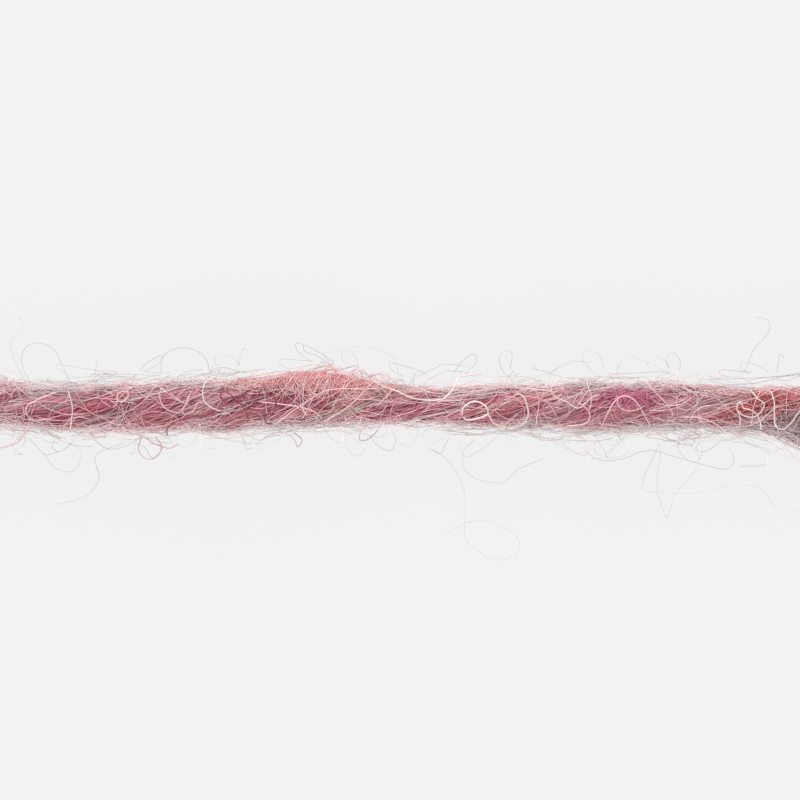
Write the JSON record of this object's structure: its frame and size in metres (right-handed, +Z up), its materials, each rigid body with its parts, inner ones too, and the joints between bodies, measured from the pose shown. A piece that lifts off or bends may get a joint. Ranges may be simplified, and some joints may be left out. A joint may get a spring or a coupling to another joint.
{
  "type": "tweed yarn",
  "caption": "Straight cut length of soft woollen single yarn in marled rose wool, with a slub, coloured neps and a fuzzy halo of stray fibres, lying on a surface",
  "frame": {"origin": "on the surface that the yarn lies on, below the middle of its length", "axes": "+X along the strand, to the right in the picture; +Y towards the top of the picture; +Z up from the surface"},
  "size_m": [0.032, 0.0079, 0.0023],
  "materials": {
    "marled_wool": "matte",
    "stray_wool": "matte"
  },
  "bodies": {
    "root": {"strand": "marled_wool", "halo_1": "stray_wool", "halo_2": "stray_wool", "halo_3": "stray_wool", "halo_4": "stray_wool", "halo_5": "stray_wool", "halo_6": "stray_wool", "halo_7": "stray_wool", "halo_8": "stray_wool"}
  },
  "joints": []
}
